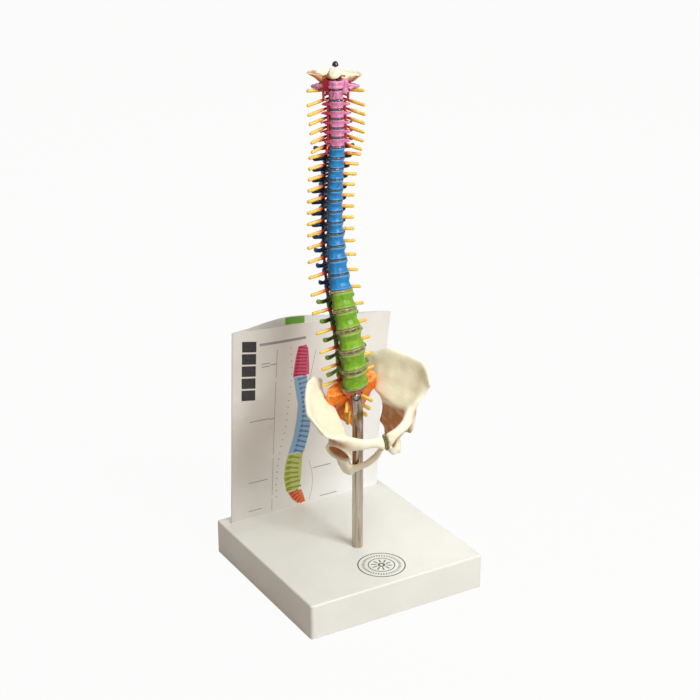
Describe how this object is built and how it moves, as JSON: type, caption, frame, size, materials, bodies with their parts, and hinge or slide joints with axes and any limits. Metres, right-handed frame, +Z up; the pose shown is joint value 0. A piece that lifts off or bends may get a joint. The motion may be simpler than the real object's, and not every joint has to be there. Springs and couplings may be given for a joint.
{
  "type": "spine anatomy model",
  "caption": "Small flexible vertebral column with coloured regions, nerve roots and pelvis, on a chrome tube in a square base with a folded chart card behind.",
  "frame": {"origin": "centre of the square base's underside", "axes": "+Z up along the tube, -Y the front of the model, +X the model's own left side"},
  "size_m": [0.18, 0.186, 0.4805],
  "materials": {
    "base_plastic": "satin moulded",
    "card": "satin printed sheet",
    "tube_chrome": "polished",
    "screw_steel": "plain",
    "bone": "satin painted",
    "sacrum_orange": "satin painted",
    "disc_amber": "glossy, slightly translucent",
    "nerve_yellow": "satin",
    "artery_red": "glossy",
    "cap_black": "glossy",
    "cervical_pink": "satin painted",
    "thoracic_blue": "satin painted",
    "lumbar_green": "satin painted"
  },
  "bodies": {
    "root": {"base": "base_plastic", "chart_card": "card", "core_wire": "cap_black", "disc_c2_c3": "disc_amber", "disc_c3_c4": "disc_amber", "disc_c4_c5": "disc_amber", "disc_c5_c6": "disc_amber", "disc_c6_c7": "disc_amber", "disc_c7_t1": "disc_amber", "disc_l1_l2": "disc_amber", "disc_l2_l3": "disc_amber", "disc_l3_l4": "disc_amber", "disc_l4_l5": "disc_amber", "disc_l5_s1": "disc_amber", "disc_t10_t11": "disc_amber", "disc_t11_t12": "disc_amber", "disc_t12_l1": "disc_amber", "disc_t1_t2": "disc_amber", "disc_t2_t3": "disc_amber", "disc_t3_t4": "disc_amber", "disc_t4_t5": "disc_amber", "disc_t5_t6": "disc_amber", "disc_t6_t7": "disc_amber", "disc_t7_t8": "disc_amber", "disc_t8_t9": "disc_amber", "disc_t9_t10": "disc_amber", "hip_bone_left": "bone", "hip_bone_right": "bone", "occipital_plate": "bone", "sacrum_coccyx": "sacrum_orange", "spinal_nerves": "nerve_yellow", "support_tube": "tube_chrome", "symphysis_disc": "disc_amber", "tube_screw": "screw_steel", "vertebra_c1": "cervical_pink", "vertebra_c2": "cervical_pink", "vertebra_c3": "cervical_pink", "vertebra_c4": "cervical_pink", "vertebra_c5": "cervical_pink", "vertebra_c6": "cervical_pink", "vertebra_c7": "cervical_pink", "vertebra_l1": "lumbar_green", "vertebra_l2": "lumbar_green", "vertebra_l3": "lumbar_green", "vertebra_l4": "lumbar_green", "vertebra_l5": "lumbar_green", "vertebra_t1": "thoracic_blue", "vertebra_t10": "thoracic_blue", "vertebra_t11": "thoracic_blue", "vertebra_t12": "thoracic_blue", "vertebra_t2": "thoracic_blue", "vertebra_t3": "thoracic_blue", "vertebra_t4": "thoracic_blue", "vertebra_t5": "thoracic_blue", "vertebra_t6": "thoracic_blue", "vertebra_t7": "thoracic_blue", "vertebra_t8": "thoracic_blue", "vertebra_t9": "thoracic_blue", "vertebral_artery_left": "artery_red", "vertebral_artery_right": "artery_red"}
  },
  "joints": []
}
